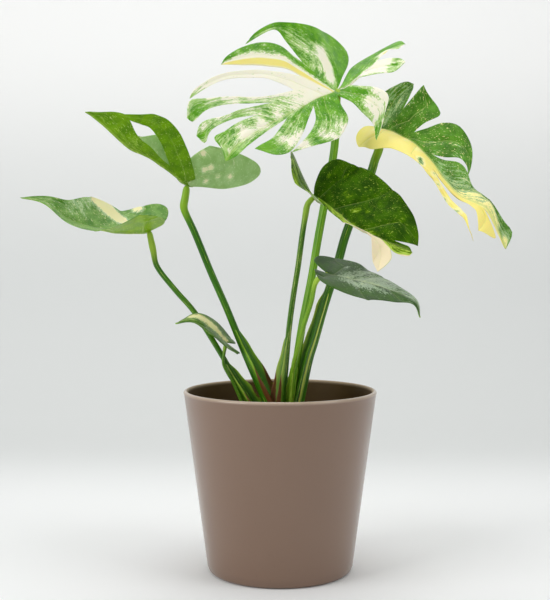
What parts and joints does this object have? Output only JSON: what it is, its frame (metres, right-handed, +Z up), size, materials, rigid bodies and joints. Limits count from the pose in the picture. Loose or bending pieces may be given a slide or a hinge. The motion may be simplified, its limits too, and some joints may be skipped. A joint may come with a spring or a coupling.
{
  "type": "potted monstera plant",
  "caption": "Variegated split-leaf monstera in a tapered round glazed ceramic pot: cut and lobed leaves on long sheathed petioles over dark potting soil.",
  "frame": {"origin": "centre of the pot's flat foot, on the ground", "axes": "+Z up along the pot's axis; -Y is the front, the side with the low drooping leaf; +X is to the right seen from the front"},
  "size_m": [0.4538, 0.2005, 0.5345],
  "materials": {
    "pot_glaze": "glossy taupe glaze outside, dark olive-brown inside",
    "soil": "matt dark peaty potting mix",
    "stem": "matt green-brown",
    "petiole_top": "smooth waxy green, streaked with cream",
    "leaf_top": "satin green, variegated with cream and white",
    "petiole_right": "smooth waxy green, streaked with cream",
    "leaf_right": "satin green, variegated with cream and white",
    "petiole_centre": "smooth waxy green, streaked with cream",
    "leaf_centre": "satin green, variegated with cream and white",
    "petiole_low_right": "smooth waxy green, streaked with cream",
    "leaf_low_right": "satin green, variegated with cream and white",
    "petiole_upper_left": "smooth waxy green, streaked with cream",
    "leaf_upper_left": "satin green, variegated with cream and white",
    "petiole_left": "smooth waxy green, streaked with cream",
    "leaf_left": "satin green, variegated with cream and white",
    "petiole_small": "smooth waxy green, streaked with cream",
    "leaf_small": "satin green, variegated with cream and white"
  },
  "bodies": {
    "root": {"pot": "pot_glaze", "potting_soil": "soil", "stem": "stem", "petiole_top": "petiole_top", "leaf_top": "leaf_top", "petiole_right": "petiole_right", "leaf_right": "leaf_right", "petiole_centre": "petiole_centre", "leaf_centre": "leaf_centre", "petiole_low_right": "petiole_low_right", "leaf_low_right": "leaf_low_right", "petiole_upper_left": "petiole_upper_left", "leaf_upper_left": "leaf_upper_left", "petiole_left": "petiole_left", "leaf_left": "leaf_left", "petiole_small": "petiole_small", "leaf_small": "leaf_small"}
  },
  "joints": []
}
